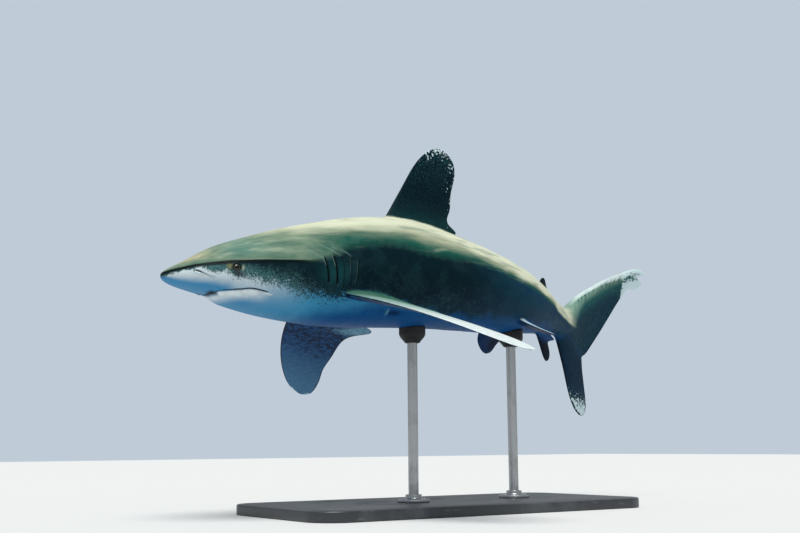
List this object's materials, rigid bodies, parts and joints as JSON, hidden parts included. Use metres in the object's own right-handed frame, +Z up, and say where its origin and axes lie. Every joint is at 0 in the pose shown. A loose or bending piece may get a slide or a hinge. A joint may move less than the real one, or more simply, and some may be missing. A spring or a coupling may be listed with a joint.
{
  "type": "oceanic whitetip shark model",
  "caption": "Life-size oceanic whitetip shark, swimming with its rear body bent to its right, held by slim rods above a flat display base.",
  "frame": {"origin": "middle of the underside of the stand's base, on the floor", "axes": "+X from the shark's head to its tail, +Y to the shark's right, +Z up"},
  "size_m": [2.0928, 1.2988, 1.1213],
  "materials": {
    "skin": "damp, fine-grained shark skin, bronze-grey above and white below",
    "eye": "wet, glossy, brown round the pupil",
    "base_paint": "board with satin dark grey paint",
    "steel": "brushed along the rod",
    "rubber": "matt black"
  },
  "bodies": {
    "root": {"head": "skin", "lower_jaw": "skin", "eye_left": "eye", "eye_right": "eye", "trunk_front": "skin", "trunk_middle": "skin", "trunk_rear": "skin", "tail_stock": "skin", "pectoral_fin_left": "skin", "pectoral_fin_right": "skin", "pelvic_fin_left": "skin", "pelvic_fin_right": "skin", "dorsal_fin_first": "skin", "dorsal_fin_second": "skin", "anal_fin": "skin", "caudal_fin_lower": "skin", "caudal_fin_upper": "skin", "stand_base": "base_paint", "stand_rod_front": "steel", "stand_collar_front": "steel", "stand_cup_front": "rubber", "stand_rod_rear": "steel", "stand_collar_rear": "steel", "stand_cup_rear": "rubber"}
  },
  "joints": []
}
